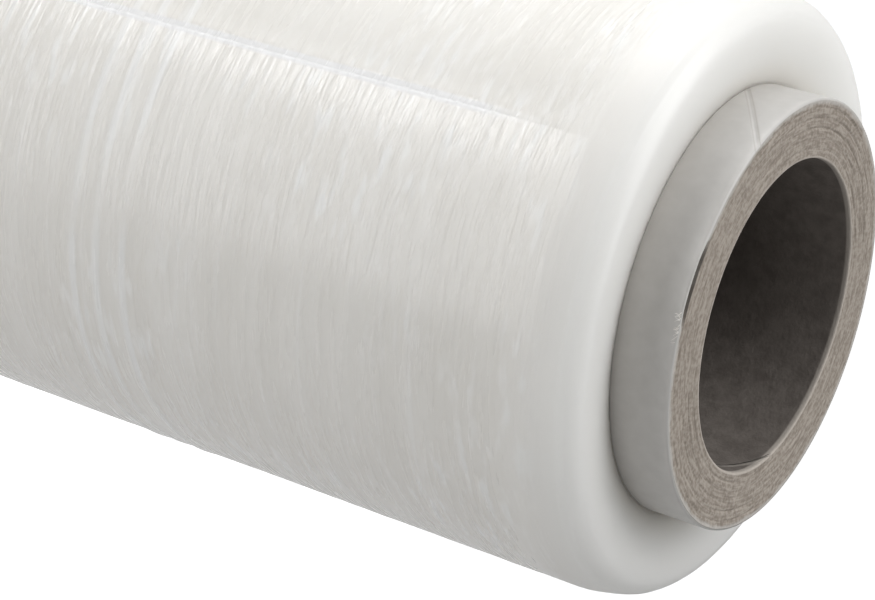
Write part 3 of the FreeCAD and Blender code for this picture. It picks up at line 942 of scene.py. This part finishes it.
def shape_tube(mesh):
    """Turn the columns along the seams, sink the seams, and roughen the sawn ends."""
    wall = TUBE_R - BORE_R
    for vert in mesh.verts:
        x, y, z = vert.co
        r = math.hypot(x, y)
        bearing = math.atan2(y, x)
        end = math.copysign(1, z - ROLL_LENGTH / 2)
        from_end = min(z, ROLL_LENGTH - z)
        outer_share = min(max((r - BORE_R) / wall, 0.0), 1.0)
        theta = bearing + turn_columns(z, end, from_end, outer_share)
        if outer_share > 0.985:
            turn, depth = seam_move(OUTER_PLAN, bearing, z, r, OUTER_SEAM_WIDTH)
            theta += turn
            r -= OUTER_SEAM_DEPTH * depth
        elif outer_share < 0.015:
            turn, depth = seam_move(INNER_PLAN, bearing, z, r, INNER_SEAM_WIDTH)
            theta += turn
            r += INNER_SEAM_DEPTH * depth
        if from_end < 0.02 * MM:
            z -= end * sawn_depth(theta, r, end)
        if end > 0 and from_end < PEEL_REACH:
            wrapped = math.remainder(theta, 2 * math.pi)
            share = peel_share(wrapped)
            if r > PEEL_OUTER:
                r += PEEL_BEND * share * (1 - from_end / PEEL_REACH)
            elif from_end < RIM_BEVEL and r > PEEL_INNER:
                z -= PEEL_DEPTH * share
        vert.co = (r * math.cos(theta), r * math.sin(theta), z)


def make_tube():
    mesh = bmesh.new()
    tube_outline(mesh)
    bmesh.ops.rotate(mesh, verts=mesh.verts, cent=(0, 0, 0),
                     matrix=Matrix.Rotation(INNER_SEAM, 3, "Z"))
    outline = [*mesh.verts, *mesh.edges]
    spin_sectors(mesh, outline, 2 * math.pi, TUBE_SECTORS, COLUMNS // TUBE_SECTORS)
    close_ring(mesh)
    shape_tube(mesh)
    data = bpy.data.meshes.new("paperboard_tube")
    mesh.to_mesh(data)
    mesh.free()
    data.polygons.foreach_set("use_smooth", [True] * len(data.polygons))
    data.materials.append(grey_paperboard)
    tube = bpy.data.objects.new("paperboard_tube", data)
    bpy.context.scene.collection.objects.link(tube)
    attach(tube, "root")
    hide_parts("paperboard_core")
    print("tube has", len(data.polygons), "faces")


make_tube()

# %% [markdown]
# ## Loose fibres
# Beside the parted plies a small tuft of paper fibres curls over the rim. Each is a thin
# five-sided tube: a disc is extruded in short steps along a bending path, and it gets
# thinner as it goes.

# %% Tuft of fibres
FIBRE_COUNT = 14
FIBRE_STEPS = 9
FIBRE_R = 0.085 * MM
FIBRE_BEARING = math.radians(-81)
FIBRE_APART = math.radians(0.5)
FIBRE_START = 0.35 * MM
FIBRE_LENGTH = 1.5 * MM
FIBRE_LENGTH_SPREAD = 1.0 * MM
FIBRE_TAPER = 0.88
FIBRE_PALE = (0.90, 0.88, 0.85, 1)
FIBRE_SHADE = (0.78, 0.75, 0.71, 1)


def add_fibre(mesh, index):
    bearing = FIBRE_BEARING + FIBRE_APART * (index - FIBRE_COUNT / 2)
    outward = Vector((math.cos(bearing), math.sin(bearing), 0))
    sideways = Vector((-outward.y, outward.x, 0))
    lean = noise.noise(Vector((index * 2.7, 0, 0)))
    start = outward * (TUBE_R - 0.06 * index * MM)
    start.z = ROLL_LENGTH - FIBRE_START
    turn = outward.to_track_quat("Z", "Y").to_matrix().to_4x4()
    disc = bmesh.ops.create_circle(mesh, cap_ends=True, segments=5, radius=FIBRE_R,
                                   matrix=Matrix.Translation(start) @ turn)
    face = next(iter(disc["verts"][0].link_faces))
    length = FIBRE_LENGTH + FIBRE_LENGTH_SPREAD * noise.noise(Vector((index * 1.3, 4, 0)))
    for step in range(FIBRE_STEPS):
        share = step / FIBRE_STEPS
        rise = 0.25 - 1.3 * share + 0.4 * lean
        curl = 0.9 * lean + 0.8 * math.sin(3 * share + index)
        way = (outward * (1 - 0.75 * share) + Vector((0, 0, rise)) + sideways * curl)
        way = way.normalized() * length / FIBRE_STEPS
        grown = bmesh.ops.extrude_discrete_faces(mesh, faces=[face])
        face = grown["faces"][0]
        bmesh.ops.translate(mesh, verts=face.verts, vec=way)
        middle = face.calc_center_median()
        bmesh.ops.scale(mesh, verts=face.verts, vec=(FIBRE_TAPER,) * 3,
                        space=Matrix.Translation(-middle))


def make_fibres():
    mesh = bmesh.new()
    for index in range(FIBRE_COUNT):
        add_fibre(mesh, index)
    top = max(vert.co.z for vert in mesh.verts)
    bmesh.ops.translate(mesh, verts=mesh.verts,
                        vec=(0, 0, min(0.0, ROLL_LENGTH - 0.02 * MM - top)))
    bmesh.ops.recalc_face_normals(mesh, faces=mesh.faces)
    data = bpy.data.meshes.new("rim_fibres")
    mesh.to_mesh(data)
    mesh.free()
    data.materials.append(pale_fibre)
    fibres = bpy.data.objects.new("rim_fibres", data)
    bpy.context.scene.collection.objects.link(fibres)
    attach(fibres, "root")
    print("fibres have", len(data.polygons), "faces")


def fibre_finish():
    material, tree, shader = new_material("pale_fibre")
    where = tree.nodes.new("ShaderNodeTexCoord")
    specks = new_node(tree, "ShaderNodeTexNoise", "specks", Scale=900.0, Detail=3.0)
    tree.links.new(where.outputs["Object"], specks.inputs["Vector"])
    colour = mix_colour(tree, ramp(tree, specks.outputs["Fac"], 0.35, 0.65),
                        FIBRE_SHADE, FIBRE_PALE)
    tree.links.new(colour, shader.inputs["Base Color"])
    shader.inputs["Roughness"].default_value = 0.8
    return material


pale_fibre = fibre_finish()
make_fibres()

# %% [markdown]
# ## Floor and light
# The roll stands on a pale floor. The camera sees floor and background as plain white.
# Two large soft lamps light the side that is up in the picture. Two low ones reach the
# film from below its shoulder, so that they leave the front of the tube in shade, and the
# small one of them gives the streaks their gloss. One lights the end face from above, and
# two weak ones fill the side that is down in the picture.

# %% Stage
FLOOR_HALF = 6.0
FLOOR_GLOW = 0.75
GLOSSY_GLOW = 0.2
FLOOR_PALE = (0.86, 0.86, 0.86, 1)
FLOOR_SHADE = (0.82, 0.82, 0.82, 1)
WORLD_LIGHT = 0.21
MIDDLE = (0, 0, 0.44)
LAMPS = (
    # name, place, aim, size, watts
    ("key", (-1.2, -0.10, 0.32), MIDDLE, (0.9, 0.5), 5.0),
    ("high", (-1.0, -0.1, 1.5), MIDDLE, (1.0, 1.0), 10.8),
    ("front", (0.0, -0.70, 0.13), MIDDLE, (0.8, 0.22), 1.1),
    ("gloss", (-0.404, -0.575, 0.123), (-0.015, -0.048, 0.486), (0.16, 0.16), 0.6),
    ("end", (-0.4, 0.25, 1.75), MIDDLE, (1.0, 1.0), 5.5),
    ("fill", (1.3, 0.0, 0.6), MIDDLE, (1.2, 1.2), 1.0),
    ("low", (0.85, -0.65, 0.7), MIDDLE, (1.0, 0.6), 1.2),
)


def floor_finish(name):
    """A pale matte surface that the camera and mirrors see as white where it is lit."""
    material, tree, shader = new_material(name)
    shader.inputs["Roughness"].default_value = 0.9
    grain = new_node(tree, "ShaderNodeTexNoise", "grain", Scale=40.0, Detail=3.0)
    where = tree.nodes.new("ShaderNodeTexCoord")
    tree.links.new(where.outputs["Object"], grain.inputs["Vector"])
    tone = mix_colour(tree, grain.outputs["Fac"], FLOOR_SHADE, FLOOR_PALE)
    tree.links.new(tone, shader.inputs["Base Color"])
    path = tree.nodes.new("ShaderNodeLightPath")
    seen = math_node(tree, "MAXIMUM", path.outputs["Is Camera Ray"],
                     path.outputs["Is Transmission Ray"])
    seen = math_node(tree, "MULTIPLY", seen, FLOOR_GLOW)
    glossy = math_node(tree, "MULTIPLY", path.outputs["Is Glossy Ray"], GLOSSY_GLOW)
    glow = math_node(tree, "ADD", seen, glossy)
    tree.links.new(glow, shader.inputs["Emission Strength"])
    shader.inputs["Emission Color"].default_value = (1, 1, 1, 1)
    return material


def add_floor():
    mesh = bmesh.new()
    bmesh.ops.create_grid(mesh, x_segments=2, y_segments=2, size=FLOOR_HALF)
    data = bpy.data.meshes.new("floor")
    mesh.to_mesh(data)
    mesh.free()
    data.materials.append(floor_finish("pale_floor"))
    floor = bpy.data.objects.new("floor", data)
    bpy.context.scene.collection.objects.link(floor)


def set_world():
    world = bpy.data.worlds.new("studio")
    bpy.context.scene.world = world
    world.use_nodes = True
    tree = world.node_tree
    back = tree.nodes["Background"]
    path = tree.nodes.new("ShaderNodeLightPath")
    seen = math_node(tree, "MAXIMUM", path.outputs["Is Camera Ray"],
                     path.outputs["Is Transmission Ray"])
    strength = math_node(tree, "MULTIPLY_ADD", seen, 1.0 - WORLD_LIGHT, WORLD_LIGHT)
    tree.links.new(strength, back.inputs["Strength"])
    back.inputs["Color"].default_value = (1, 1, 1, 1)


def add_lamp(name, place, aim, size, watts):
    light = bpy.data.lights.new(name, "AREA")
    light.shape = "RECTANGLE"
    light.size, light.size_y = size
    light.energy = watts
    lamp = bpy.data.objects.new(name, light)
    bpy.context.scene.collection.objects.link(lamp)
    direction = Vector(aim) - Vector(place)
    lamp.rotation_euler = direction.to_track_quat("-Z", "Y").to_euler()
    lamp.location = place


add_floor()
set_world()
for name, place, aim, size, watts in LAMPS:
    add_lamp(name, place, aim, size, watts)
print("floor, world and", len(LAMPS), "lamps")

bpy.context.scene.view_settings.view_transform = "Standard"
